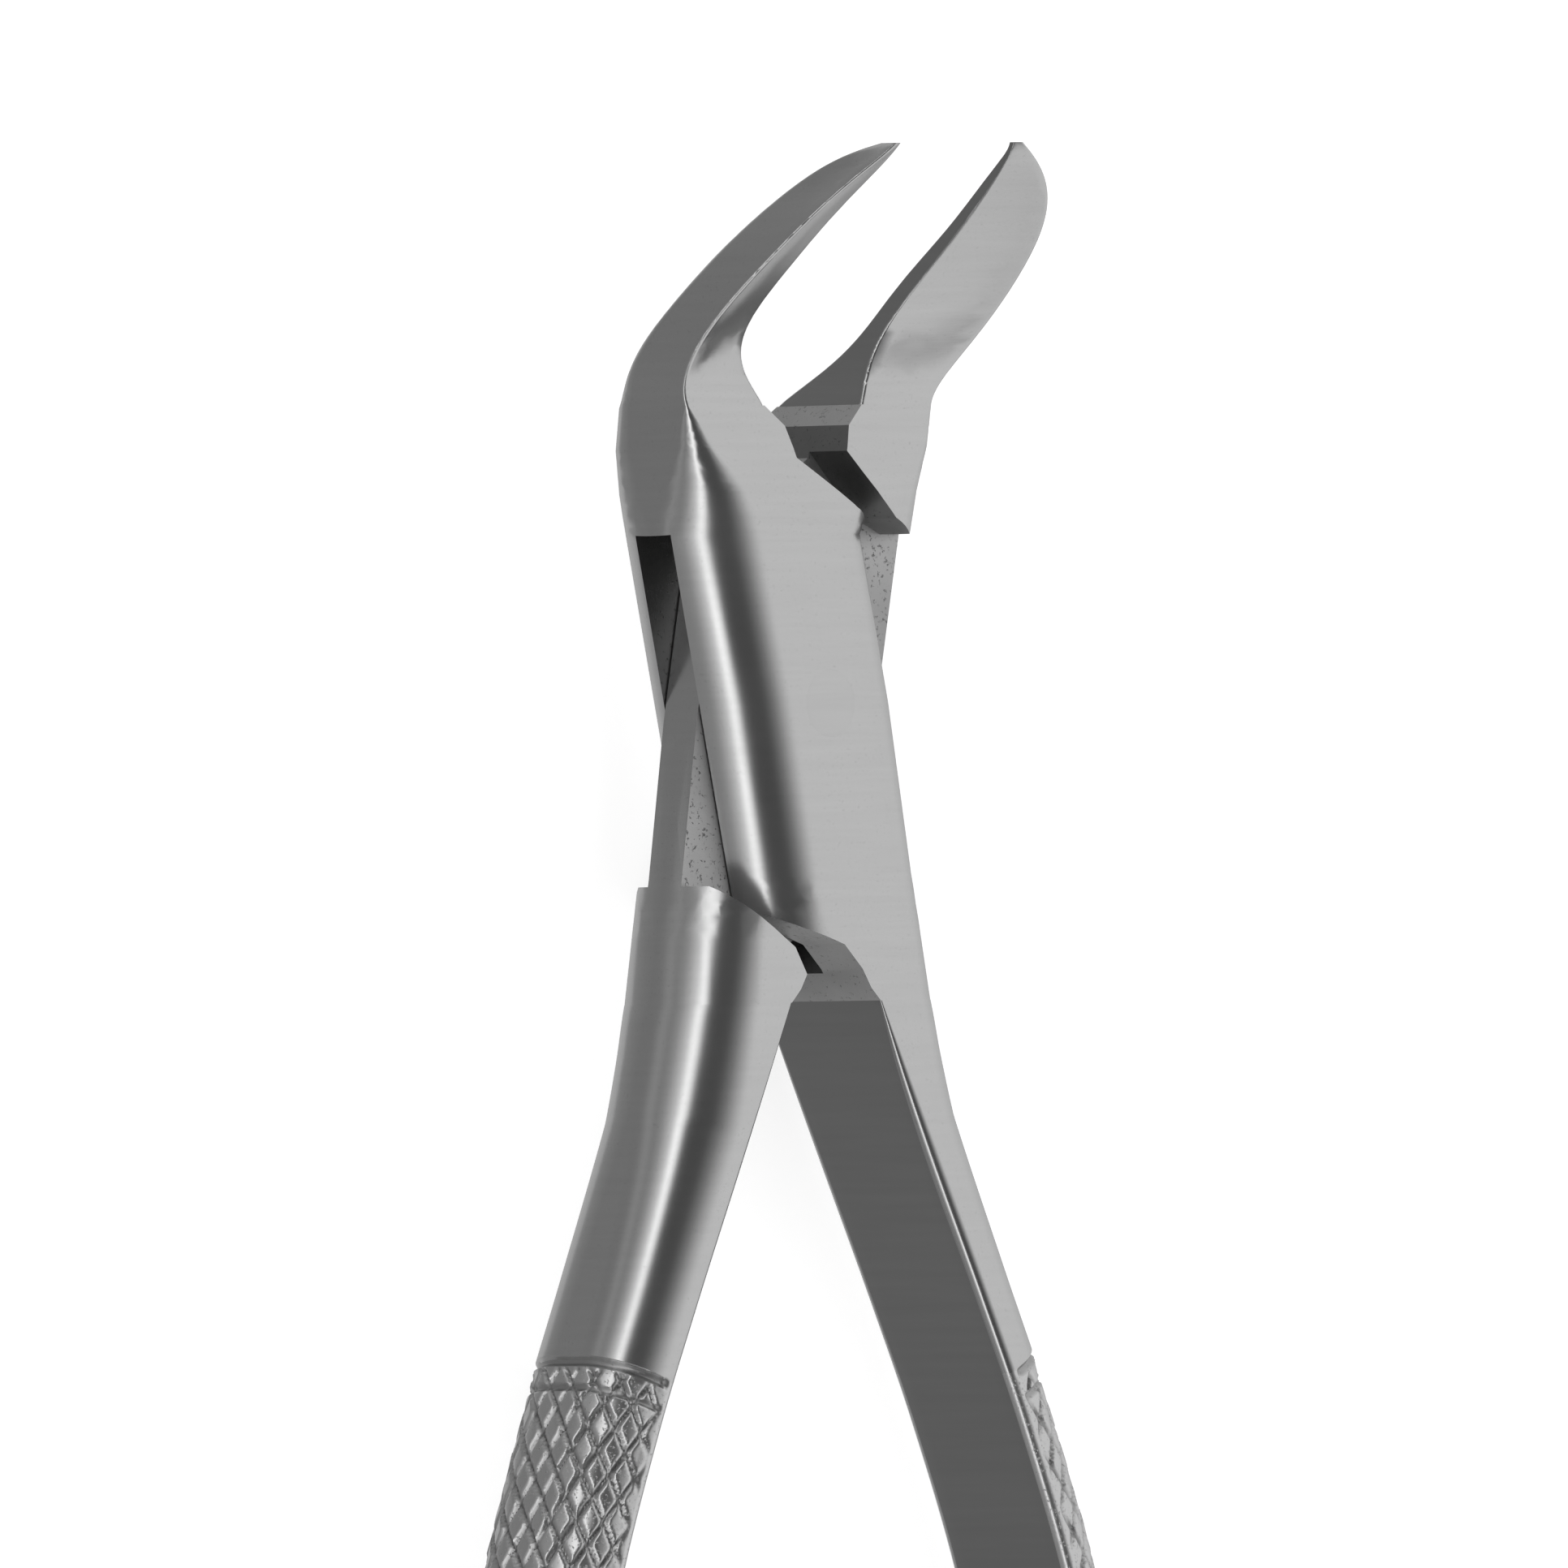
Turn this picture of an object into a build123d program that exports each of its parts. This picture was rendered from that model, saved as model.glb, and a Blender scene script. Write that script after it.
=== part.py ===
# Extraction forceps with a box joint, lying on their back.
# The hinge axis is Z through x = y = 0, the beaks point to +Y and rise to +Z, and the handles run to -Y.
# The two levers cross at the joint: the box lever carries the left beak and the right handle, and the
# tongue lever, its mirror image outside the joint, passes through the slot in the box.
import os
from math import cos, radians, sin, tan

from build123d import *

# Driving dimensions, in millimetres and degrees.
thickness = 11.4        # joint and handles, front face to back face
joint_width = 17.4      # the box, side to side
side_round = 5.6        # rounded sides of the joint and crown of the handles
half_angle = 11.9       # each lever leans this far from the Y axis as it lies open
pin_diameter = 4.6      # rivet, ground flush with both faces
pin_clearance = 0.05    # radial running fit of the tongue on the rivet
slot_height = 3.4       # slot between the two cheeks of the box
slot_clearance = 0.1    # above and below the tongue
tongue_inset = 0.25     # the tongue's sides stand back this far from the sides of its lever
slot_end = 13.65        # square end of the slot, measured along the box from the hinge axis
joint_reach = 20.4      # hinge axis to the root of the beak, and to the root of the handle
stop_gap = 0.45         # left between the levers at the joint when the beaks are closed
close_angle = 15.0      # from the open pose to beaks nearly meeting
neck_width = 7.2        # root of the beak, across
neck_gap = 4.7          # Y axis to the inner side of that root
beak_reach = 38.0       # hinge axis to the beak tips, along Y
beak_rise = 19.3        # mid-plane to the beak tips, along Z
handle_reach = 131.0    # hinge axis to the handle ends
handle_root = 8.1       # depth of a handle where it leaves the joint
root_step = 0.02        # the handle's root stands this much inside the end of the joint
handle_depth = 5.2      # inner flat to the crown of a handle
flat_round = 0.7        # edges beside the inner flat
root_edge = 0.12        # the same edges where the handle leaves the joint
shoulder_corner = 11.5  # hinge axis to the outer corner of the tongue lever's upper shoulders
grip_start = 49.5       # hinge axis to the start of the knurled stretch
ring_depth = 0.45       # the two ring grooves ahead of the knurled stretch
ring_width = 0.8
ring_pitch = 1.8
end_round = 2.0         # edge around the end of a handle
end_steps = 5           # flats that make up that edge
drawn_rise = 19.3       # the depths in the beak's table are drawn for this rise

mid_z = thickness / 2
half_width = joint_width / 2 / cos(radians(half_angle))
lean = tan(radians(half_angle))
tongue_height = slot_height - 2 * slot_clearance
rise = beak_rise / drawn_rise
ring_start = -2 * ring_pitch

# End of the upper cheeks, from the right side of the box to the inner side of the neck, and end of
# the lower cheeks, from the left side of the box to the inner side of the handle.
upper_end = [
    (half_width - lean * 12, 12.0),
    (3.0, 13.4),
    (-2.4, 16.8),
    (-3.1, 19.0),
    (-neck_gap, joint_reach),
]
lower_end = [
    (-half_width + lean * 13.9, -13.9),
    (-2.25, -15.4),
    (0.9, -16.5),
    (2.6, -18.2),
    (3.4, -19.5),
    (4.3, -joint_reach),
]


def mirrored(points):
    """The same points on the other side of the Y axis."""
    return [(-x, y) for x, y in points]


def turned(points, angle, dx, dy):
    """The points turned about the hinge axis, then moved."""
    result = []
    for x, y in points:
        spot = Vector(x, y, 0).rotate(Axis.Z, angle)
        result.append((spot.X + dx, spot.Y + dy))
    return result


def along_box(across, along):
    """A point given across and along the box, which leans to the left."""
    return turned([(across, along)], half_angle, 0, 0)[0]


def rounded_outline(corners, rounds, hollow=0.0):
    """Closed outline through four corners with tangent arcs; its first side may be hollow."""
    starts = []
    ends = []
    for i in range(4):
        corner = Vector(*corners[i])
        before = (Vector(*corners[i - 1]) - corner).normalized()
        after = (Vector(*corners[(i + 1) % 4]) - corner).normalized()
        reach = rounds[i] / tan(radians(before.get_angle(after) / 2))
        starts.append(corner + before * reach)
        ends.append(corner + after * reach)
    for i in range(4):
        middle = (starts[i] + ends[i]) / 2
        half = (starts[i] - ends[i]).length / 2
        outward = (Vector(*corners[i]) - middle).normalized()
        bulge = rounds[i] - (rounds[i] ** 2 - half ** 2) ** 0.5
        ThreePointArc(starts[i], middle + outward * bulge, ends[i])
        following = starts[(i + 1) % 4]
        if i == 0 and hollow:
            side = (following - ends[i]).normalized()
            inward = Vector(side.Y, -side.X)
            if inward.dot(Vector(*corners[2]) - ends[i]) < 0:
                inward = -inward
            ThreePointArc(ends[i], (ends[i] + following) / 2 + inward * hollow, following)
        else:
            Line(ends[i], following)


def section(plane, corners, rounds, hollow=0.0):
    """Face of a lever on a plane, from its corners and the rounding of each."""
    with BuildSketch(plane) as face:
        with BuildLine():
            rounded_outline(corners, rounds, hollow)
        make_face()
    return face.sketch


def across_lever(y):
    """Plane across the levers at this y, its own axes X and Z, from the mid-plane up."""
    return Plane(origin=(0, y, mid_z), x_dir=(1, 0, 0), z_dir=(0, -1, 0))


def beak_section(share, x_in, z_in, x_out, z_out, splay, z_back, z_in_back, back_round, hollow):
    """Face of the left beak at a share of its length from the joint; depths are above the mid-plane."""
    y = joint_reach + share * (beak_reach - joint_reach)
    inner = neck_gap + x_in
    outer = neck_gap + neck_width + x_out
    edge = min(0.3, (z_in - z_in_back) * rise * 0.2)
    corners = [
        (-inner, z_in * rise),
        (-outer, z_out * rise),
        (-outer - splay, z_back * rise),
        (-inner, z_in_back * rise),
    ]
    return section(across_lever(y), corners, [edge, 0.25, back_round, edge], hollow)


def joint_section(y, left, right, fronts, backs, rounds):
    """Face of the box lever in the joint; fronts and backs give its left and right corners."""
    corners = [(right, fronts[1]), (left, fronts[0]), (left, backs[0]), (right, backs[1])]
    return section(across_lever(y), corners, rounds)


def handle_section(index, depth, inset, beyond=0.0, flat_inset=0.0, edge=flat_round):
    """Face of the right handle, a D with its flat side inward, at or beyond one of its stations."""
    y, x, tilt = handle_line[index]
    toward = Vector(0, -1, 0).rotate(Axis.Z, tilt)
    spot = Vector(x, y, mid_z) + toward * beyond
    plane = Plane(origin=spot, x_dir=Vector(1, 0, 0).rotate(Axis.Z, tilt), z_dir=toward)
    half = mid_z - inset
    crest = depth - inset
    crown = min(side_round, half - 0.1, crest - flat_inset - edge - 0.05)
    corners = [(flat_inset, half), (crest, half), (crest, -half), (flat_inset, -half)]
    return section(plane, corners, [edge, crown, crown, edge])


# Inner flat of the right handle: y, x and the tilt of the handle there.
grip_index = 4
handle_line = [
    (-joint_reach, 4.3, 0),
    (-25.5, 6.4, 12),
    (-32.0, 9.35, 21),
    (-41.0, 13.65, 25.5),
    (-grip_start, 17.5, 23),
    (-60.0, 21.5, 18.5),
    (-73.0, 25.0, 12),
    (-90.0, 27.5, 5.5),
    (-110.0, 28.5, 0.5),
    (-handle_reach, 27.9, -3.5),
]

# Beak of the box lever: one smooth loft, wedge-shaped, with a hollow front face.
beak_rows = [
    (0.0, 0.0, 4.6, 0.0, 4.3, 0.0, -3.9, -3.6, 2.6, 0.0),
    (0.115, 1.05, 4.1, 0.8, 5.1, 0.0, -1.9, -0.9, 1.7, 0.1),
    (0.255, 1.9, 4.6, 1.45, 7.45, -0.1, 0.9, 2.2, 1.0, 0.25),
    (0.415, 2.15, 7.1, 1.4, 10.6, -0.15, 4.2, 5.2, 0.8, 0.3),
    (0.63, 2.1, 11.6, 0.35, 14.8, -0.1, 8.3, 10.0, 0.7, 0.25),
    (0.8, 1.7, 15.2, -1.5, 17.55, 0.3, 11.8, 14.0, 0.5, 0.12),
    (0.925, 1.15, 17.8, -4.0, 18.95, 1.3, 14.9, 17.1, 0.3, 0.0),
    (1.0, 0.75, 19.0, -5.75, 19.3, 0.45, 17.9, 18.6, 0.12, 0.0),
]
with BuildPart() as beak:
    for row in beak_rows:
        add(beak_section(*row))
    loft()

# Joint of the box lever, ruled from section to section, before its ends and slot are cut.
round_in = min(side_round, mid_z - 0.1)
even = [round_in] * 4
root_slope = 0.3 / neck_width
root_left = -neck_gap - neck_width
root_right = half_width - lean * joint_reach
root_front = 4.3 * rise
root_back = -3.9 * rise
root_lift = root_slope * (root_right - root_left)
with BuildPart() as joint_top:
    for y in (0.0, 11.5):
        reach = lean * y
        add(joint_section(y, -half_width - reach, half_width - reach, [mid_z, mid_z],
                          [-mid_z, -mid_z], even))
    add(joint_section(14.5, root_left + 0.5, half_width - lean * 14.5, [5.5, mid_z],
                      [-5.6, -mid_z], [2.5, 4.2, 4.6, 2.5]))
    add(joint_section(17.5, root_left + 0.2, half_width - lean * 17.5, [4.9, 5.5],
                      [-5.0, -5.0], [0.8, 1.9, 3.6, 0.8]))
    add(joint_section(joint_reach, root_left, root_right, [root_front, root_front + root_lift],
                      [root_back, root_back + root_lift], [0.3, 0.25, 2.6, 0.3]))
    loft(ruled=True)
    with BuildSketch(Plane.XY):
        with BuildLine():
            Polyline([(40, 8), *upper_end, (40, joint_reach)], close=True)
        make_face()
    extrude(amount=thickness, mode=Mode.SUBTRACT)

with BuildPart() as joint_bottom:
    for y, right in ((0.0, half_width), (-11.8, 10.8), (-16.0, 11.6), (-joint_reach, 4.3 + handle_root)):
        add(joint_section(y, -half_width - lean * y, right, [mid_z, mid_z], [-mid_z, -mid_z], even))
    loft(ruled=True)
    with BuildSketch(Plane.XY):
        with BuildLine():
            Polyline([(-40, -8), *lower_end, (-40, -joint_reach)], close=True)
        make_face()
    extrude(amount=thickness, mode=Mode.SUBTRACT)

# Right handle: a plain stretch, then the knurled stretch, drawn at the crowns of its teeth.
plain_depths = [7.05, 6.05, 5.35]
with BuildPart() as handle_plain:
    add(handle_section(0, handle_root, root_step, 0, root_step, root_edge))
    for index, depth in enumerate(plain_depths):
        add(handle_section(index + 1, depth, 0))
    add(handle_section(grip_index, handle_depth, 0, ring_start))
    loft()

with BuildPart() as handle_grip:
    for index in range(grip_index, len(handle_line)):
        add(handle_section(index, handle_depth, 0))
    loft()

with BuildPart() as handle_end:
    for step in range(end_steps + 1):
        angle = 80 * step / end_steps
        drawn_in = end_round * (1 - cos(radians(angle)))
        onward = end_round * sin(radians(angle))
        add(handle_section(-1, handle_depth, drawn_in, onward, drawn_in))
    loft(ruled=True)

# Two ring grooves run round the crown of the handle, just ahead of the knurled stretch.
with BuildPart() as ring_zone:
    for number in range(2):
        ahead = ring_start + number * ring_pitch
        extrude(handle_section(grip_index, handle_depth, ring_depth, ahead), amount=ring_width)
        land = handle_section(grip_index, handle_depth, 0, ahead + ring_width)
        extrude(land, amount=ring_pitch - ring_width)

with BuildPart() as handle:
    add(handle_plain.part)
    add(ring_zone.part)
    add(handle_grip.part)
    add(handle_end.part)

# Slot through the box, wide enough for the tongue's whole swing.
closed_top = turned(mirrored(upper_end[1:3]), close_angle, -stop_gap, stop_gap)
closed_bottom = turned(mirrored(lower_end[1:4]), close_angle, stop_gap, -stop_gap)
beyond = 2 * joint_reach
with BuildPart() as slot:
    with BuildSketch(Plane.XY.offset(mid_z - slot_height / 2)):
        with BuildLine():
            Polyline([
                along_box(-joint_width, slot_end),
                *closed_top,
                (closed_top[-1][0], beyond),
                (beyond, beyond),
                along_box(joint_width, -slot_end),
                *closed_bottom,
                (closed_bottom[-1][0], -beyond),
                (-beyond, -beyond),
            ], close=True)
        make_face()
    extrude(amount=slot_height)

# What the tongue lever loses between its two shoulders, which stand off the cheek ends by the
# closing swing: everything above and below the tongue, and a little along the tongue's sides.
shoulder_top = turned(upper_end[:4], -close_angle, stop_gap, stop_gap)
shoulder_bottom = turned(lower_end[:5], -close_angle, -stop_gap, -stop_gap)
pocket_outline = [
    (beyond, shoulder_corner),
    (shoulder_top[0][0] - stop_gap, shoulder_corner),
    *shoulder_top[1:],
    (-beyond, shoulder_top[-1][1]),
    (-beyond, shoulder_bottom[0][1] + stop_gap),
    *shoulder_bottom,
    (beyond, shoulder_bottom[-1][1]),
]
with BuildPart() as pocket:
    with BuildSketch(Plane.XY.offset(-1)):
        with BuildLine():
            Polyline(pocket_outline, close=True)
        make_face()
    extrude(amount=thickness + 2)
    with Locations(Location((0, 0, mid_z), (0, 0, -half_angle))):
        Box(joint_width - 2 * tongue_inset, 6 * joint_reach, tongue_height, mode=Mode.SUBTRACT)

# Box lever.
with BuildPart() as box_top:
    add(joint_top.part)
    add(slot.part, mode=Mode.SUBTRACT)

with BuildPart() as box_bottom:
    add(joint_bottom.part)
    add(slot.part, mode=Mode.SUBTRACT)

with BuildPart() as box_half:
    add(box_top.part)
    add(box_bottom.part)
    with BuildSketch(Plane.XY):
        Circle(pin_diameter / 2)
    extrude(amount=thickness, mode=Mode.SUBTRACT)
    add(beak.part)
    add(handle.part)

# Tongue lever, the mirror image of the other outside the joint.
with BuildPart() as tongue_top:
    mirror(joint_top.part, about=Plane.YZ)
    add(pocket.part, mode=Mode.SUBTRACT)

with BuildPart() as tongue_bottom:
    mirror(joint_bottom.part, about=Plane.YZ)
    add(pocket.part, mode=Mode.SUBTRACT)

with BuildPart() as tongue_half:
    add(tongue_top.part)
    add(tongue_bottom.part)
    with BuildSketch(Plane.XY):
        Circle(pin_diameter / 2 + pin_clearance)
    extrude(amount=thickness, mode=Mode.SUBTRACT)
    mirror(beak.part, about=Plane.YZ)
    mirror(handle.part, about=Plane.YZ)

# Rivet: fast in the box lever, free in the tongue.
with BuildPart() as pivot_pin:
    with BuildSketch(Plane.XY):
        Circle(pin_diameter / 2)
    extrude(amount=thickness)

box_half.part.label = "box_half"
tongue_half.part.label = "tongue_half"
pivot_pin.part.label = "pivot_pin"
os.makedirs("parts", exist_ok=True)
for piece in (box_half, tongue_half, pivot_pin):
    export_step(piece.part, f"parts/{piece.part.label}.step")
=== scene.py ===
from math import cos, pi, radians, sin

import bmesh
import bpy
from mathutils import Matrix, Vector


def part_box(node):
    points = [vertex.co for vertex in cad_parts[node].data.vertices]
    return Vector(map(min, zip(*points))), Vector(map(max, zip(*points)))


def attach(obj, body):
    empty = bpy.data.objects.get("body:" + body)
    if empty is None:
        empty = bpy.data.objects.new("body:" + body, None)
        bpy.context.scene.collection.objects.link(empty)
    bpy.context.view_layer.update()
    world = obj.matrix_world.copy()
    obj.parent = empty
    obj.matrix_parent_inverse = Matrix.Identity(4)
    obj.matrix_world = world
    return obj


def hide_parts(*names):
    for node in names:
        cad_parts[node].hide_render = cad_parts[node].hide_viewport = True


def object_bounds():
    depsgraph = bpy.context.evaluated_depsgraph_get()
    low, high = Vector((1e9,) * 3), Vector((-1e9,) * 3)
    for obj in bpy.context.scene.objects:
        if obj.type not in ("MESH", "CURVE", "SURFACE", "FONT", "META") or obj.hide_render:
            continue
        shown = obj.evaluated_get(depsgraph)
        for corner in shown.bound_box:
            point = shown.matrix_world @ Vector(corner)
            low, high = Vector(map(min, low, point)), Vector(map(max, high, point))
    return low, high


bl_info = {
    "name": "Extraction Forceps",
    "version": (1, 0, 0),
    "blender": (4, 5, 0),
    "location": "View3D > Sidebar > Forceps",
    "description": "Steel finish, knurled grips and studio for box-joint extraction forceps",
    "category": "Add Mesh",
}

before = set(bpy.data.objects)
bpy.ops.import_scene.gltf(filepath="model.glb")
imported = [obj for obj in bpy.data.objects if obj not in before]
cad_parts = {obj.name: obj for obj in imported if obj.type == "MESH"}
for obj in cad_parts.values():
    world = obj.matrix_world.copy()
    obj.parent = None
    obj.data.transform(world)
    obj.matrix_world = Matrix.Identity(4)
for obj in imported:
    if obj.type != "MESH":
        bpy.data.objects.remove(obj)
cad_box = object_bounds()

MM = 0.001
PIN_LOW, PIN_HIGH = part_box("pivot_pin")
MID_Z = (PIN_LOW.z + PIN_HIGH.z) / 2
HALF_THICKNESS = (PIN_HIGH.z - PIN_LOW.z) / 2
LEVERS = {"box_half": "box_lever", "tongue_half": "tongue_lever"}
JOINT_REACH = 20.4 * MM
SLOT_HALF = 1.75 * MM

# Points closer than this, in metres, are one point.
TOUCHING = 0.000001


# Sizes and colours

class ForcepsSteel(bpy.types.PropertyGroup):
    """Finish of the levers."""

    tint: bpy.props.FloatVectorProperty(
        name="Tint", description="Colour of the satin steel",
        subtype="COLOR", size=3, min=0.0, max=1.0, default=(0.60, 0.60, 0.60))
    roughness: bpy.props.FloatProperty(
        name="Roughness", description="How soft the reflections in the satin steel are",
        subtype="FACTOR", min=0.0, max=1.0, default=0.22)
    grain: bpy.props.FloatProperty(
        name="Grain", description="Width of one line of the brushed grain",
        unit="LENGTH", subtype="DISTANCE", min=0.00001, default=0.00015)
    ground_tint: bpy.props.FloatVectorProperty(
        name="Ground tint",
        description="Colour of the rough steel on the cheek ends and the tongue",
        subtype="COLOR", size=3, min=0.0, max=1.0, default=(0.50, 0.50, 0.50))
    # Dark tint: steel deep in the joint, partly its rough unpolished finish and partly painted
    # shade of the slot and of the gaps between the cheeks.
    shaded_dark_tint: bpy.props.FloatVectorProperty(
        name="Shaded dark tint", description="Colour of the unpolished steel deep in the joint",
        subtype="COLOR", size=3, min=0.0, max=1.0, default=(0.26, 0.26, 0.26))
    flat_tint: bpy.props.FloatVectorProperty(
        name="Flat tint", description="Colour of the milled inner flats of the handles",
        subtype="COLOR", size=3, min=0.0, max=1.0, default=(0.40, 0.40, 0.40))
    sharp_edge: bpy.props.FloatProperty(
        name="Sharp edge",
        description="Faces that meet at more than this angle keep a crisp edge",
        subtype="ANGLE", default=radians(24))


class ForcepsGrip(bpy.types.PropertyGroup):
    """Handles and their knurled stretch."""

    spacing: bpy.props.FloatProperty(
        name="Spacing", description="Distance from one knurl groove to the next, square to them",
        unit="LENGTH", subtype="DISTANCE", default=0.00172)
    long_angle: bpy.props.FloatProperty(
        name="Long angle", description="Angle between the handle and the longer grooves",
        subtype="ANGLE", default=radians(24))
    cross_angle: bpy.props.FloatProperty(
        name="Cross angle", description="Angle between the handle and the crossing grooves",
        subtype="ANGLE", default=radians(40))
    depth: bpy.props.FloatProperty(
        name="Groove depth", description="Depth of the knurling grooves",
        unit="LENGTH", subtype="DISTANCE", default=0.00034)
    groove: bpy.props.FloatProperty(
        name="Groove width", description="Share of the spacing that a groove takes",
        subtype="FACTOR", min=0.05, max=1.0, default=0.30)
    tilt: bpy.props.FloatProperty(
        name="Facet tilt",
        description="How unevenly the knurl crowns stand, as hand cutting leaves them",
        unit="LENGTH", subtype="DISTANCE", default=0.00010)
    ring_width: bpy.props.FloatProperty(
        name="Ring width", description="Width of each ring groove ahead of the knurling",
        unit="LENGTH", subtype="DISTANCE", default=0.0007)
    ring_depth: bpy.props.FloatProperty(
        name="Ring depth", description="Depth of each ring groove",
        unit="LENGTH", subtype="DISTANCE", default=0.00040)
    end_round: bpy.props.FloatProperty(
        name="End round", description="Rounding of the edge at the end of a handle",
        unit="LENGTH", subtype="DISTANCE", default=0.002)


class ForcepsStudio(bpy.types.PropertyGroup):
    """Floor, light and camera."""

    view_tilt: bpy.props.FloatProperty(
        name="View tilt", description="Lean of the view from straight above towards -X",
        subtype="ANGLE", default=radians(45))
    view_roll: bpy.props.FloatProperty(
        name="View roll", description="Turn of the camera about its line of sight",
        subtype="ANGLE", default=radians(1.15))
    view_width: bpy.props.FloatProperty(
        name="View width", description="Width that the camera takes in at the joint",
        unit="LENGTH", subtype="DISTANCE", default=0.1073)
    lens: bpy.props.FloatProperty(
        name="Lens",
        description="Focal length in millimetres, long so that the view is nearly parallel",
        default=1000.0)
    floor_size: bpy.props.FloatProperty(
        name="Floor size", description="Side of the square floor",
        unit="LENGTH", subtype="DISTANCE", default=9.0)


# Node helpers

def new_group(name, inputs, outputs):
    """A shader node group of values, from (label, default) inputs and the labels of its outputs."""
    group = bpy.data.node_groups.new(name, "ShaderNodeTree")
    kind = "NodeSocketFloat"
    for label, default in inputs:
        socket = group.interface.new_socket(name=label, in_out="INPUT", socket_type=kind)
        socket.default_value = default
    for label in outputs:
        group.interface.new_socket(name=label, in_out="OUTPUT", socket_type=kind)
    start = group.nodes.new("NodeGroupInput")
    end = group.nodes.new("NodeGroupOutput")
    return group, start, end


def add_node(tree, kind, **settings):
    """A node with its settings and, by socket name, its fixed values."""
    node = tree.nodes.new(kind)
    for key, value in settings.items():
        if hasattr(node, key):
            setattr(node, key, value)
        else:
            node.inputs[key].default_value = value
    return node


def math_node(tree, operation, *operands):
    """A Math node; each operand is a number or a socket."""
    node = tree.nodes.new("ShaderNodeMath")
    node.operation = operation
    for slot, operand in enumerate(operands):
        if isinstance(operand, (int, float)):
            node.inputs[slot].default_value = operand
        else:
            tree.links.new(operand, node.inputs[slot])
    return node.outputs[0]


def mix_colours(tree, factor, first, second):
    """Mixes two colours, each a tuple or a socket."""
    node = tree.nodes.new("ShaderNodeMix")
    node.data_type = "RGBA"
    tree.links.new(factor, node.inputs[0])
    for slot, colour in ((6, first), (7, second)):
        if isinstance(colour, tuple):
            node.inputs[slot].default_value = colour
        else:
            tree.links.new(colour, node.inputs[slot])
    return node.outputs[2]


def ramp(tree, factor, stops):
    """A colour ramp of greys, from (position, grey) pairs."""
    node = tree.nodes.new("ShaderNodeValToRGB")
    elements = node.color_ramp.elements
    elements[0].position = stops[0][0]
    elements[1].position = stops[-1][0]
    for position, _ in stops[1:-1]:
        elements.new(position)
    for element, (position, grey) in zip(elements, stops):
        element.color = (grey, grey, grey, 1.0)
    tree.links.new(factor, node.inputs[0])
    return node.outputs[0]


# Effects that several finishes share

def brushed_grain_group():
    """Fine lines across the handles, broken up as a belt leaves them."""
    group, start, end = new_group(
        "Brushed Grain", [("Line width", 0.0001), ("Length", 14.0)], ["Height", "Streaks"])
    place = add_node(group, "ShaderNodeTexCoord")
    scale = math_node(group, "DIVIDE", 1.0, start.outputs["Line width"])
    across = math_node(group, "DIVIDE", scale, start.outputs["Length"])
    stretch = add_node(group, "ShaderNodeCombineXYZ")
    group.links.new(across, stretch.inputs[0])
    group.links.new(scale, stretch.inputs[1])
    group.links.new(across, stretch.inputs[2])
    scaled = add_node(group, "ShaderNodeVectorMath", operation="MULTIPLY")
    group.links.new(place.outputs["Object"], scaled.inputs[0])
    group.links.new(stretch.outputs[0], scaled.inputs[1])
    lines = add_node(group, "ShaderNodeTexNoise", Scale=1.0, Detail=2.0, Roughness=0.6)
    group.links.new(scaled.outputs[0], lines.inputs["Vector"])
    broad = add_node(group, "ShaderNodeTexNoise", Scale=0.30, Detail=2.0, Roughness=0.5)
    group.links.new(scaled.outputs[0], broad.inputs["Vector"])
    group.links.new(lines.outputs[0], end.inputs["Height"])
    group.links.new(broad.outputs[0], end.inputs["Streaks"])
    return group


def fine_marks_group():
    """Sparse specks and faint blotches of handling on the steel."""
    group, start, end = new_group(
        "Fine Marks", [("Speck size", 0.0003), ("Amount", 0.4)], ["Specks", "Blotches"])
    place = add_node(group, "ShaderNodeTexCoord")
    scale = math_node(group, "DIVIDE", 1.0, start.outputs["Speck size"])
    specks = add_node(group, "ShaderNodeTexNoise", Detail=3.0, Roughness=0.65)
    group.links.new(place.outputs["Object"], specks.inputs["Vector"])
    group.links.new(scale, specks.inputs["Scale"])
    sparse = ramp(group, specks.outputs[0], [(0.60, 0.0), (0.72, 1.0)])
    amount = math_node(group, "MULTIPLY", sparse, start.outputs["Amount"])
    group.links.new(amount, end.inputs["Specks"])
    blotches = add_node(group, "ShaderNodeTexNoise", Scale=110.0, Detail=3.0, Roughness=0.55)
    group.links.new(place.outputs["Object"], blotches.inputs["Vector"])
    group.links.new(blotches.outputs[0], end.inputs["Blotches"])
    return group


GROUPS = {}

# How many times longer than wide a line of the grain is, and how high it stands, in metres.
SATIN_LENGTH = 16.0
MILLED_LENGTH = 22.0
GRAIN_HEIGHT = 0.00003


def shared_group(name, build):
    """Builds a node group the first time it is asked for."""
    if name not in GROUPS:
        GROUPS[name] = build()
    return GROUPS[name]


def place_group(tree, name, build, **values):
    """Places a shared node group in a material with its own values."""
    node = tree.nodes.new("ShaderNodeGroup")
    node.node_tree = shared_group(name, build)
    for key, value in values.items():
        node.inputs[key.replace("_", " ")].default_value = value
    return node


def new_finish(name):
    """An empty material with a Principled BSDF; returns it, its tree and the shader."""
    material = bpy.data.materials.new(name)
    material.use_nodes = True
    return material, material.node_tree, material.node_tree.nodes["Principled BSDF"]


def shade(value, factor):
    """A colour scaled by a factor, with alpha."""
    return tuple(min(1.0, channel * factor) for channel in value) + (1.0,)


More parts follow.
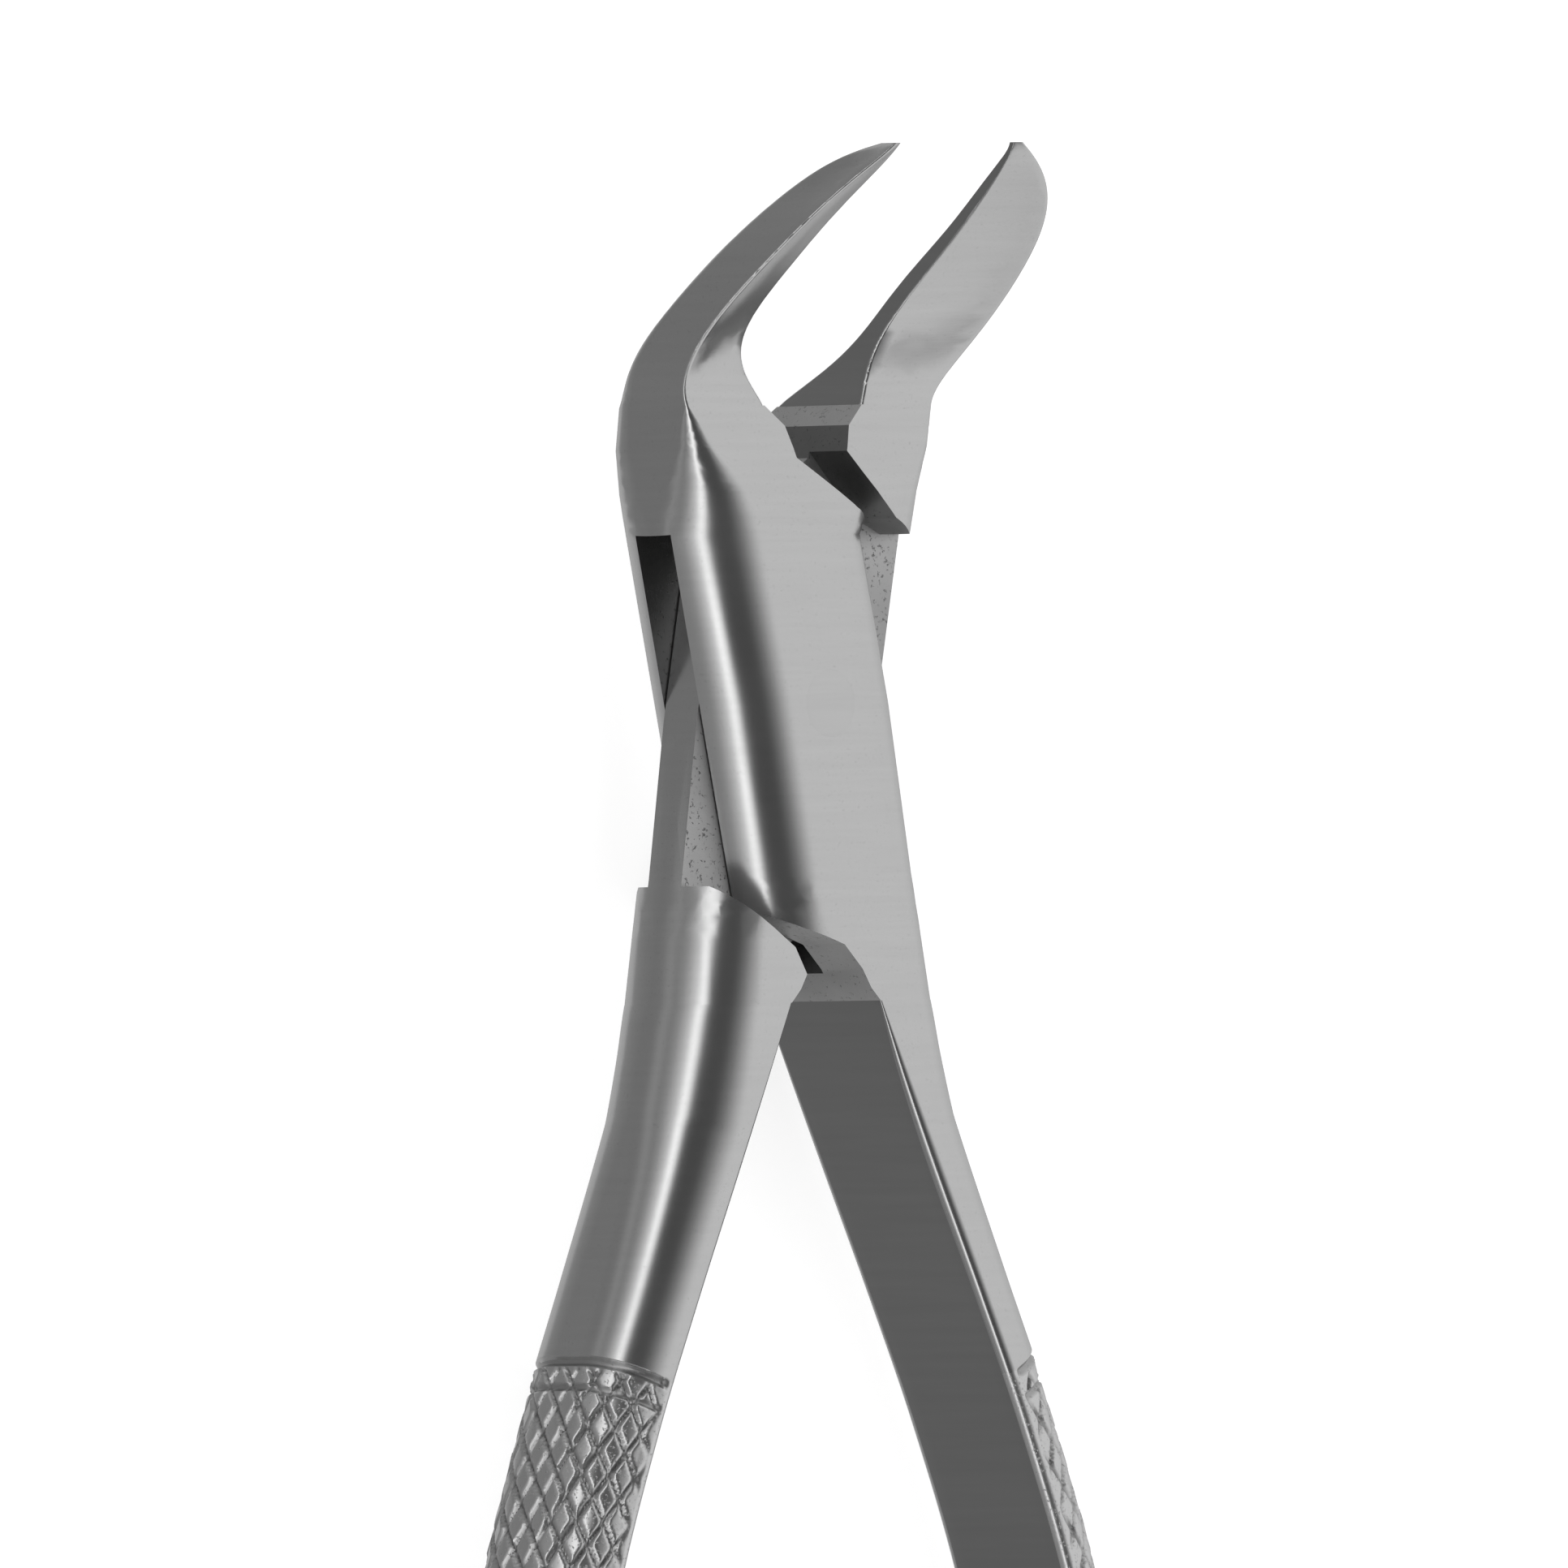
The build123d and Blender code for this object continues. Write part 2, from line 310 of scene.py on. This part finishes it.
def satin_steel(settings):
    """Brushed satin steel of the levers."""
    material, tree, shader = new_finish("Satin steel")
    shader.inputs["Metallic"].default_value = 1.0
    grain = place_group(tree, "grain", brushed_grain_group,
                        Line_width=settings.grain, Length=SATIN_LENGTH)
    marks = place_group(tree, "marks", fine_marks_group, Speck_size=0.00022, Amount=0.35)
    streaked = mix_colours(tree, grain.outputs["Streaks"], shade(settings.tint, 0.96),
                           shade(settings.tint, 1.04))
    speckled = mix_colours(tree, marks.outputs["Specks"], streaked, shade(settings.tint, 0.72))
    tree.links.new(speckled, shader.inputs["Base Color"])
    rough = math_node(tree, "MULTIPLY_ADD", marks.outputs["Blotches"], 0.10,
                      settings.roughness - 0.05)
    tree.links.new(rough, shader.inputs["Roughness"])
    bump = add_node(tree, "ShaderNodeBump", Strength=0.08, Distance=GRAIN_HEIGHT)
    tree.links.new(grain.outputs["Height"], bump.inputs["Height"])
    tree.links.new(bump.outputs[0], shader.inputs["Normal"])
    return material


def ground_steel(settings, name, tint, bump_strength):
    """Rough steel of the joint, from the tint of its finish; with the dark tint it also carries
    painted shade deep in the joint.
    """
    material, tree, shader = new_finish(name)
    shader.inputs["Metallic"].default_value = 1.0
    marks = place_group(tree, "marks", fine_marks_group, Speck_size=0.00030, Amount=0.9)
    toned = mix_colours(tree, marks.outputs["Blotches"], shade(tint, 0.7), shade(tint, 1.4))
    pitted = mix_colours(tree, marks.outputs["Specks"], toned, shade(tint, 0.45))
    tree.links.new(pitted, shader.inputs["Base Color"])
    shader.inputs["Roughness"].default_value = 0.50
    bump = add_node(tree, "ShaderNodeBump", Strength=bump_strength, Distance=0.00010)
    tree.links.new(marks.outputs["Specks"], bump.inputs["Height"])
    tree.links.new(bump.outputs[0], shader.inputs["Normal"])
    return material


def milled_steel(settings):
    """Inner flats of the handles and inner sides of the beaks: duller, with fine lines across."""
    material, tree, shader = new_finish("Milled flat")
    shader.inputs["Metallic"].default_value = 1.0
    grain = place_group(tree, "grain", brushed_grain_group,
                        Line_width=settings.grain * 1.2, Length=MILLED_LENGTH)
    streaked = mix_colours(tree, grain.outputs["Streaks"], shade(settings.flat_tint, 0.93),
                           shade(settings.flat_tint, 1.06))
    tree.links.new(streaked, shader.inputs["Base Color"])
    shader.inputs["Roughness"].default_value = settings.roughness + 0.06
    bump = add_node(tree, "ShaderNodeBump", Strength=0.14, Distance=GRAIN_HEIGHT)
    tree.links.new(grain.outputs["Height"], bump.inputs["Height"])
    tree.links.new(bump.outputs[0], shader.inputs["Normal"])
    return material


def knurl_steel(settings):
    """Steel of the knurled grips: bright crowns from wear, and grooves that are rougher and
    darkened with painted shade.
    """
    material, tree, shader = new_finish("Knurled steel")
    shader.inputs["Metallic"].default_value = 1.0
    # The crown attribute darkens the knurl and ring grooves as painted shade and keeps the crowns
    # light from wear.
    crown = add_node(tree, "ShaderNodeAttribute", attribute_name="crown")
    marks = place_group(tree, "marks", fine_marks_group, Speck_size=0.0002, Amount=0.7)
    toned = mix_colours(tree, crown.outputs["Fac"], shade(settings.tint, 0.62),
                       shade(settings.tint, 1.12))
    pitted = mix_colours(tree, marks.outputs["Specks"], toned, shade(settings.tint, 0.5))
    tree.links.new(pitted, shader.inputs["Base Color"])
    rough = math_node(tree, "MULTIPLY_ADD", crown.outputs["Fac"], -0.12,
                      settings.roughness + 0.18)
    tree.links.new(rough, shader.inputs["Roughness"])
    bump = add_node(tree, "ShaderNodeBump", Strength=0.5, Distance=0.00006)
    tree.links.new(marks.outputs["Specks"], bump.inputs["Height"])
    tree.links.new(bump.outputs[0], shader.inputs["Normal"])
    return material


def rivet_steel(settings):
    """The rivet's ends, ground with the joint and a touch darker."""
    material, tree, shader = new_finish("Rivet steel")
    shader.inputs["Metallic"].default_value = 1.0
    grain = place_group(tree, "grain", brushed_grain_group,
                        Line_width=settings.grain, Length=SATIN_LENGTH)
    streaked = mix_colours(tree, grain.outputs["Streaks"], shade(settings.tint, 0.95),
                           shade(settings.tint, 1.03))
    tree.links.new(streaked, shader.inputs["Base Color"])
    shader.inputs["Roughness"].default_value = settings.roughness
    return material


# Mesh helpers

def finish_object(name, mesh, body):
    """Links a finished mesh as a piece that rides on a body."""
    piece = bpy.data.objects.new(name, mesh)
    bpy.context.scene.collection.objects.link(piece)
    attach(piece, body)
    return piece


# Finishes of a lever, in the order of its materials.
SATIN, GROUND, SHADED_DARK, MILLED = range(4)


def finish_of_face(face, has_slot):
    """Which finish a face of a lever takes, by where it lies and which way it points; faces deep in
    the slot and between the cheeks take the dark steel as painted shade.
    """
    spots = [vertex.co for vertex in face.verts]
    if max(abs(spot.y) for spot in spots) > JOINT_REACH + 0.2 * MM:
        inward = face.normal.x if has_slot else -face.normal.x
        return MILLED if inward > 0.8 else SATIN
    inside = max(abs(spot.z - MID_Z) for spot in spots) < SLOT_HALF
    level = abs(face.normal.z) > 0.98
    upright = abs(face.normal.z) < 0.08
    along = abs(face.normal.y) > 0.35
    ended = min(abs(spot.y) for spot in spots) > 0.4 * JOINT_REACH
    # Faces inside the slot: on the box lever they take the dark steel, painted shade of the slot.
    if inside and (level or along):
        return SHADED_DARK if has_slot else GROUND
    # End walls in the joint: the lower ones on the box lever and the raised ones take the ground
    # steel, the rest take the dark steel as painted shade of the gaps.
    if upright and along and ended:
        low = sum(spot.y for spot in spots) < 0
        raised = min(spot.y for spot in spots) > 0.9 * JOINT_REACH
        return GROUND if (has_slot and low) or raised else SHADED_DARK
    # Tongue faces between the cheeks take the dark steel as painted shade.
    between = max(abs(spot.x) for spot in spots) < 0.3 * JOINT_REACH
    if upright and ended and between and not has_slot:
        return SHADED_DARK
    return SATIN


# How far a lever reaches into its handle, and how much of the beak's tip is rounded.
ROOT_OVERLAP = 0.02 * MM
TIP_ROUND = 0.22 * MM


def finished_lever(node, body, finishes, settings):
    """The beak and the joint of a lever, with loose triangles joined and shaded smoothly."""
    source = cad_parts[node]
    bm = bmesh.new()
    bm.from_mesh(source.data)
    bmesh.ops.remove_doubles(bm, verts=bm.verts, dist=TOUCHING)
    bmesh.ops.dissolve_degenerate(bm, edges=bm.edges, dist=TOUCHING / 2)
    round_tip(bm)
    everything = bm.verts[:] + bm.edges[:] + bm.faces[:]
    bmesh.ops.bisect_plane(bm, geom=everything, dist=TOUCHING / 10, clear_outer=True,
                           plane_co=(0, -JOINT_REACH - ROOT_OVERLAP, 0), plane_no=(0, -1, 0))
    bmesh.ops.holes_fill(bm, edges=[edge for edge in bm.edges if edge.is_boundary], sides=0)
    for face in bm.faces:
        face.smooth = True
        face.material_index = finish_of_face(face, node == "box_half")
    for edge in bm.edges:
        if len(edge.link_faces) == 2:
            parted = edge.calc_face_angle() > settings.sharp_edge
            pair = {face.material_index for face in edge.link_faces}
            edge.smooth = not (parted or (len(pair) == 2 and pair != {SATIN, MILLED}))
    mesh = bpy.data.meshes.new(f"{node}_finished")
    bm.to_mesh(mesh)
    bm.free()
    for finish in finishes:
        mesh.materials.append(finish)
    piece = finish_object(f"{node}_finished", mesh, body)
    even_flats(piece)
    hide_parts(node)
    return piece


def round_tip(bm):
    """Takes the square edge off the beak's tip."""
    highest = max(vertex.co.y for vertex in bm.verts)
    tip = [face for face in bm.faces
           if min(vertex.co.y for vertex in face.verts) > highest - 0.01 * MM]
    joined = bmesh.ops.dissolve_faces(bm, faces=tip)["region"]
    edges = list({edge for face in joined for edge in face.edges})
    bmesh.ops.bevel(bm, geom=edges, offset=TIP_ROUND, segments=3, profile=0.5, affect="EDGES",
                    clamp_overlap=True, material=-1)


def even_flats(piece):
    """Shades broad faces flat and lets the rounds beside them take up the turn."""
    weigh = piece.modifiers.new("Even flats", "WEIGHTED_NORMAL")
    weigh.keep_sharp = True
    weigh.weight = 80


# Operators

class FORCEPS_OT_levers(bpy.types.Operator):
    """Gives both levers their satin steel and the joint its rough ground steel, with painted shade
    in the dark steel deep inside the joint.
    """

    bl_idname = "forceps.levers"
    bl_label = "Finish Levers"

    def execute(self, context):
        settings = context.scene.forceps_steel
        finishes = (
            satin_steel(settings),
            ground_steel(settings, "Ground steel", settings.ground_tint, 0.6),
            # The dark steel is the joint's rough finish darkened with painted shade.
            ground_steel(settings, "Shaded dark steel", settings.shaded_dark_tint, 0.3),
            milled_steel(settings),
        )
        for node, body in LEVERS.items():
            finished_lever(node, body, finishes, settings)
        return {"FINISHED"}


class FORCEPS_OT_rivet(bpy.types.Operator):
    """Gives the rivet its ground ends."""

    bl_idname = "forceps.rivet"
    bl_label = "Finish Rivet"

    def execute(self, context):
        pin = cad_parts["pivot_pin"]
        pin.data.materials.clear()
        pin.data.materials.append(rivet_steel(context.scene.forceps_steel))
        return {"FINISHED"}


# Handles

# Right handle, station by station: y, x and tilt of its inner flat, then its depth and the
# rounding of the edges beside the flat.
HANDLE_STATIONS = (
    (-20.4, 4.3, 0.0, 8.1, 0.12),
    (-25.5, 6.4, 12.0, 7.05, 0.5),
    (-32.0, 9.35, 21.0, 6.05, 0.7),
    (-41.0, 13.65, 25.5, 5.35, 0.7),
    (-49.5, 17.5, 23.0, 5.2, 0.7),
    (-60.0, 21.5, 18.5, 5.2, 0.7),
    (-73.0, 25.0, 12.0, 5.2, 0.7),
    (-90.0, 27.5, 5.5, 5.2, 0.7),
    (-110.0, 28.5, 0.5, 5.2, 0.7),
    (-131.0, 27.9, -3.5, 5.2, 0.7),
)
GRIP_STATION = 4

# All in millimetres: the middles of the ring grooves, from the grip station; the plain stretch
# that has close rows for them; the steps between rows; what the last row leaves to the end; and
# the largest rounding of the crown.
RING_MIDDLES = (-3.2, -1.4)
RING_STRETCH = 4.2
PLAIN_STEP, RING_STEP, GRIP_STEP = 0.45, 0.10, 0.235
END_GAP = 0.06
CROWN_ROUND = 5.6

# Columns of half the outline: on the flat, on the rounding beside it, and over the crown.
FLAT_COLUMNS, CORNER_COLUMNS, CROWN_COLUMNS = 5, 4, 70
HALF_COLUMNS = FLAT_COLUMNS + CORNER_COLUMNS + CROWN_COLUMNS

# Multiples of the two groove counts that leave each knurl crown its own lean, one pair a way.
ASKEW_TURNS = ((12.9, 78.2), (39.3, 11.1))

# Finishes of a handle, in the order of its materials.
PLAIN, KNURLED, FLAT = range(3)


def station_marks():
    """Distance of each station from the first one, along the handle."""
    marks = [0.0]
    for first, second in zip(HANDLE_STATIONS, HANDLE_STATIONS[1:]):
        step = Vector(second[:2]) - Vector(first[:2])
        marks.append(marks[-1] + step.length)
    return marks


def eased(marks, values, at):
    """Value at a distance, on a smooth curve through the values at the marks."""
    last = len(marks) - 1
    index = 0
    while index < last - 1 and marks[index + 1] < at:
        index += 1
    slopes = []
    for spot in (index, index + 1):
        before, after = max(spot - 1, 0), min(spot + 1, last)
        slopes.append((values[after] - values[before]) / (marks[after] - marks[before]))
    span = marks[index + 1] - marks[index]
    share = (at - marks[index]) / span
    rest = 1 - share
    return (values[index] * (1 + 2 * share) * rest * rest
            + values[index + 1] * share * share * (3 - 2 * share)
            + slopes[0] * span * share * rest * rest
            - slopes[1] * span * share * share * rest)


def handle_rows(marks):
    """Distances of the handle's rows: far apart when plain, close on the rings and the knurling."""
    grip = marks[GRIP_STATION]
    rings = grip - RING_STRETCH
    stretches = ((0.0, rings, PLAIN_STEP), (rings, grip, RING_STEP), (grip, marks[-1], GRIP_STEP))
    rows = []
    for start, end, step in stretches:
        count = round((end - start) / step)
        rows += [start + (end - start) * number / count for number in range(count)]
    return rows + [marks[-1] - END_GAP]


def half_outline(depth, half, corner, crown):
    """Front half of the handle's D outline, from the middle of the flat to the middle of the crown.

    Each entry is a point with its outward normal, the distance left to the crown's middle and the
    distance gone since the rounding beside the flat.
    """
    flat = half - corner
    points = [(0.0, flat * number / FLAT_COLUMNS, -1.0, 0.0) for number in range(FLAT_COLUMNS)]
    for number in range(CORNER_COLUMNS):
        turn = number / CORNER_COLUMNS * pi / 2
        points.append((corner - corner * cos(turn), flat + corner * sin(turn),
                       -cos(turn), sin(turn)))
    run = depth - corner - crown
    bend = crown * pi / 2
    rise = half - crown
    total = run + bend + rise
    for number in range(CROWN_COLUMNS + 1):
        gone = number / CROWN_COLUMNS * total
        if gone < run:
            points.append((corner + gone, half, 0.0, 1.0))
        elif gone < run + bend:
            turn = (gone - run) / crown
            points.append((depth - crown + crown * sin(turn), rise + crown * cos(turn),
                           sin(turn), cos(turn)))
        else:
            points.append((depth, total - gone, 1.0, 0.0))
    result = []
    for index, point in enumerate(points):
        share = max(0, index - FLAT_COLUMNS - CORNER_COLUMNS) / CROWN_COLUMNS
        result.append((point, total * (1 - share), total * share))
    return result


def knurl(around, along, settings):
    """Height of the knurling, 0 in a groove and about 1 on a crown, each crown a little askew."""
    walls = []
    cells = []
    for turn in (settings.cross_angle, -settings.long_angle):
        across = (around * cos(turn) - along * sin(turn)) / (settings.spacing / MM)
        cell = round(across - 0.5)
        cells.append((cell, across - cell - 0.5))
        near = 0.5 - abs(across - cell - 0.5)
        walls.append(min(1.0, near / (settings.groove / 2)))
    askew = sum(
        sin(cells[0][0] * first + cells[1][0] * second) * cells[slot][1]
        for slot, (first, second) in enumerate(ASKEW_TURNS))
    return min(walls), askew


def shaped_handle(side, body, finishes, settings):
    """One handle: a closed D-shaped sweep with ring grooves, cut knurling and a rounded end."""
    marks = station_marks()
    rows = handle_rows(marks)
    columns = [list(values) for values in zip(*HANDLE_STATIONS)]
    grip = marks[GRIP_STATION]
    half = HALF_THICKNESS / MM
    bm = bmesh.new()
    turns = 2 * HALF_COLUMNS
    bmesh.ops.create_grid(bm, x_segments=turns, y_segments=len(rows) - 1, size=0.5)
    # The crown layer is the colour mask: light on the crowns from wear, low in the grooves as
    # painted shade.
    crown_wear_and_groove_shade = bm.verts.layers.float.new("crown")
    outlines = {}
    for vertex in bm.verts:
        row = round((vertex.co.y + 0.5) * (len(rows) - 1))
        column = round((vertex.co.x + 0.5) * turns)
        reach = rows[row]
        if row not in outlines:
            y, x, tilt, depth, corner = (eased(marks, values, reach) for values in columns)
            crown = min(CROWN_ROUND, half - 0.1, depth - corner - 0.05)
            outlines[row] = (x, y, radians(tilt), half_outline(depth, half, corner, crown))
        x, y, tilt, outline = outlines[row]
        back = column > HALF_COLUMNS
        point, left, gone = outline[turns - column if back else column]
        across, lift, normal_across, normal_lift = point
        flip = -1 if back else 1
        sink, toned = cut_depth(flip * left, gone, reach - grip, settings)
        # Colour mask of the point: painted shade in the grooves, light crowns from wear.
        vertex[crown_wear_and_groove_shade] = toned
        across -= normal_across * sink
        lift = flip * (lift - normal_lift * sink)
        vertex.co = (side * (x + across * cos(tilt)) * MM,
                     (y + across * sin(tilt)) * MM,
                     MID_Z + lift * MM)
    bmesh.ops.remove_doubles(bm, verts=bm.verts, dist=TOUCHING)
    tilt = radians(HANDLE_STATIONS[-1][2])
    round_off(bm, Vector((side * sin(tilt), -cos(tilt), 0)), settings.end_round)
    bmesh.ops.holes_fill(bm, edges=[edge for edge in bm.edges if edge.is_boundary], sides=0)
    bmesh.ops.recalc_face_normals(bm, faces=bm.faces)
    finish_handle_faces(bm, side)
    mesh = bpy.data.meshes.new(f"{body}_handle")
    bm.to_mesh(mesh)
    bm.free()
    for finish in finishes:
        mesh.materials.append(finish)
    piece = finish_object(f"{body}_handle", mesh, body)
    even_flats(piece)
    return piece


def cut_depth(around, gone, beyond, settings):
    """How deep the rings and the knurling cut at a point, in millimetres, and the colour mask
    there: 1 on a crown from wear, lower in the knurl and ring grooves as painted shade.
    """
    ring = 0.0
    width = settings.ring_width / MM
    for middle in RING_MIDDLES:
        near = abs(beyond - middle) / (width / 2)
        if near < 1:
            ring = max(ring, cos(near * pi / 2) ** 0.7)
    edge = min(1.0, gone / 0.5)
    sink = ring * edge * settings.ring_depth / MM
    start = min(1.0, max(0.0, beyond - RING_MIDDLES[0] - width / 2) / 0.3)
    fade = min(1.0, gone / 0.8) * start
    if not fade:
        # Ring grooves take a darker colour: painted shade.
        return sink, 1.0 - 0.8 * ring * edge
    wall, askew = knurl(around, beyond, settings)
    groove = (1 - wall) * settings.depth / MM
    rough = askew * wall * settings.tilt / MM
    cut = fade * (groove + rough + 1.2 * settings.tilt / MM)
    # Knurl grooves take a darker colour, which is painted shade; the crowns stay light from wear.
    return max(sink, cut), min(1.0 - 0.8 * ring * edge, 1.0 - (1.0 - wall) * fade)


def finish_handle_faces(bm, side):
    """Gives each face of a handle its finish."""
    start_y, start_x, tilt = HANDLE_STATIONS[GRIP_STATION][:3]
    lean = radians(tilt)
    for face in bm.faces:
        face.smooth = True
        middle = face.calc_center_median()
        flat = face.normal.x * side < -0.7 and abs(face.normal.z) < 0.1
        beyond = ((start_y * MM - middle.y) * cos(lean)
                  + (middle.x * side - start_x * MM) * sin(lean))
        if flat:
            face.material_index = FLAT
        elif beyond > (RING_MIDDLES[0] - 0.35) * MM:
            face.material_index = KNURLED
        else:
            face.material_index = PLAIN
    for edge in bm.edges:
        edge.smooth = not (len(edge.link_faces) == 2 and edge.calc_face_angle() > radians(50))


# Rings of the rounded end, and how far it turns before the flat cap.
END_RINGS = 7
END_TURN = radians(80)


def round_off(bm, along, radius):
    """Rounds the edge round the end of a handle, in rings drawn in towards its middle."""
    rim = [edge for edge in bm.edges if edge.is_boundary]
    lowest = min(edge.verts[0].co.y for edge in rim)
    rim = [edge for edge in rim if edge.verts[0].co.y < lowest + 5 * MM]
    girth = {vertex for edge in rim for vertex in edge.verts}
    upward = Vector((0, 0, 1))
    spans = []
    for axis in (along.cross(upward), upward):
        reaches = [vertex.co.dot(axis) for vertex in girth]
        low, high = min(reaches), max(reaches)
        spans.append((axis, (low + high) / 2, (high - low) / 2))
    drawn = 0.0
    gone = 0.0
    for ring in range(1, END_RINGS + 1):
        turn = ring / END_RINGS * END_TURN
        made = bmesh.ops.extrude_edge_only(bm, edges=rim)["geom"]
        rim = [item for item in made if isinstance(item, bmesh.types.BMEdge)]
        inward = radius * (1 - cos(turn)) - drawn
        onward = radius * sin(turn) - gone
        for dot in (item for item in made if isinstance(item, bmesh.types.BMVert)):
            dot.co += along * onward
            for axis, middle, reach in spans:
                dot.co -= axis * (dot.co.dot(axis) - middle) * inward / (reach - drawn)
        drawn += inward
        gone += onward


class FORCEPS_OT_handles(bpy.types.Operator):
    """Makes both handles with their ring grooves and knurling."""

    bl_idname = "forceps.handles"
    bl_label = "Make Handles"

    def execute(self, context):
        settings = context.scene.forceps_steel
        finishes = (satin_steel(settings), knurl_steel(settings), milled_steel(settings))
        for side, body in ((1, "box_lever"), (-1, "tongue_lever")):
            shaped_handle(side, body, finishes, context.scene.forceps_grip)
        return {"FINISHED"}


# Studio

# Brightness of the tent, by angle from straight up towards the left.
TENT_TONES = (
    (-180, 0.26), (-120, 0.26), (-85, 0.38), (-30, 0.40), (-4, 0.12), (10, 0.045), (44, 0.035),
    (50, 0.70), (57, 0.95), (64, 0.42), (82, 0.19), (95, 0.13), (108, 0.19), (122, 0.12),
    (140, 0.12), (180, 0.16),
)
TENT_STRENGTH = 2.0

FLOOR_DROP = 0.02 * MM
SENSOR = 36.0

# How far the camera's aim lies right of and below the middle of the joint.
AIM_RIGHT = 0.85 * MM
AIM_DOWN = 5.45 * MM


def studio_world():
    """A soft light tent: broad light on the right, a narrow one high on the left, dark between."""
    world = bpy.data.worlds.new("Light tent")
    world.use_nodes = True
    tree = world.node_tree
    place = add_node(tree, "ShaderNodeTexCoord")
    parts = add_node(tree, "ShaderNodeSeparateXYZ")
    tree.links.new(place.outputs["Generated"], parts.inputs[0])
    left = math_node(tree, "MULTIPLY", parts.outputs["X"], -1.0)
    turn = math_node(tree, "ARCTAN2", left, parts.outputs["Z"])
    share = math_node(tree, "MULTIPLY_ADD", turn, 1 / (2 * pi), 0.5)
    tones = ramp(tree, share, [((angle + 180) / 360, grey) for angle, grey in TENT_TONES])
    back = tree.nodes["Background"]
    tree.links.new(tones, back.inputs["Color"])
    back.inputs["Strength"].default_value = TENT_STRENGTH
    bpy.context.scene.world = world


def studio_floor(settings):
    """A pale floor, left out of the steel's reflections, where the tent takes its place."""
    half = settings.floor_size / 2
    bm = bmesh.new()
    bmesh.ops.create_grid(bm, x_segments=2, y_segments=2, size=half)
    bmesh.ops.translate(bm, verts=bm.verts, vec=(0, 0, cad_box[0][2] - FLOOR_DROP))
    mesh = bpy.data.meshes.new("floor")
    bm.to_mesh(mesh)
    bm.free()
    material, tree, shader = new_finish("Pale floor")
    shader.inputs["Base Color"].default_value = (0.9, 0.9, 0.9, 1.0)
    shader.inputs["Roughness"].default_value = 0.8
    shader.inputs["Emission Color"].default_value = (1.0, 1.0, 1.0, 1.0)
    shader.inputs["Emission Strength"].default_value = 0.75
    mesh.materials.append(material)
    floor = bpy.data.objects.new("floor", mesh)
    floor.visible_glossy = False
    bpy.context.scene.collection.objects.link(floor)


def studio_camera(settings):
    """A distant camera that looks down on the joint from the left of the beaks."""
    tilt = settings.view_tilt
    roll = settings.view_roll
    toward = Vector((-sin(tilt), 0, cos(tilt)))
    flat_right = Vector((cos(tilt), 0, sin(tilt)))
    right = flat_right * cos(roll) - Vector((0, 1, 0)) * sin(roll)
    up = Vector((0, 1, 0)) * cos(roll) + flat_right * sin(roll)
    distance = settings.view_width * settings.lens / SENSOR
    middle = Vector((0, 0, MID_Z)) + right * AIM_RIGHT - up * AIM_DOWN
    data = bpy.data.cameras.new("camera")
    data.lens = settings.lens
    data.sensor_width = SENSOR
    data.clip_end = 20.0
    camera = bpy.data.objects.new("camera", data)
    turned = Matrix((right, up, toward)).transposed().to_4x4()
    camera.matrix_world = Matrix.Translation(middle + toward * distance) @ turned
    bpy.context.scene.collection.objects.link(camera)
    bpy.context.scene.camera = camera


class FORCEPS_OT_studio(bpy.types.Operator):
    """Sets up the floor, the light tent and the camera."""

    bl_idname = "forceps.studio"
    bl_label = "Set Up Studio"

    def execute(self, context):
        settings = context.scene.forceps_studio
        studio_world()
        studio_floor(settings)
        studio_camera(settings)
        context.scene.view_settings.view_transform = "Standard"
        return {"FINISHED"}


class FORCEPS_PT_panel(bpy.types.Panel):
    """Lists the steps that finish the forceps."""

    bl_idname = "FORCEPS_PT_panel"
    bl_label = "Extraction Forceps"
    bl_space_type = "VIEW_3D"
    bl_region_type = "UI"
    bl_category = "Forceps"

    def draw(self, context):
        for operator in STEPS:
            self.layout.operator(operator.bl_idname)
        for holder in (context.scene.forceps_steel, context.scene.forceps_grip,
                       context.scene.forceps_studio):
            column = self.layout.column(align=True)
            for name in holder.__annotations__:
                column.prop(holder, name)


STEPS = (FORCEPS_OT_levers, FORCEPS_OT_rivet, FORCEPS_OT_handles, FORCEPS_OT_studio)
SETTINGS = (
    ("forceps_steel", ForcepsSteel),
    ("forceps_grip", ForcepsGrip),
    ("forceps_studio", ForcepsStudio),
)


def register():
    """Registers the classes and the settings on the scene."""
    for name, group in SETTINGS:
        bpy.utils.register_class(group)
        setattr(bpy.types.Scene, name, bpy.props.PointerProperty(type=group))
    for item in (*STEPS, FORCEPS_PT_panel):
        bpy.utils.register_class(item)


def unregister():
    """Removes what register added."""
    for item in reversed((*STEPS, FORCEPS_PT_panel)):
        bpy.utils.unregister_class(item)
    for name, group in reversed(SETTINGS):
        delattr(bpy.types.Scene, name)
        bpy.utils.unregister_class(group)


def main():
    """Makes every piece in order."""
    register()
    bpy.ops.forceps.levers()
    bpy.ops.forceps.rivet()
    bpy.ops.forceps.handles()
    bpy.ops.forceps.studio()


if __name__ == "__main__":
    main()
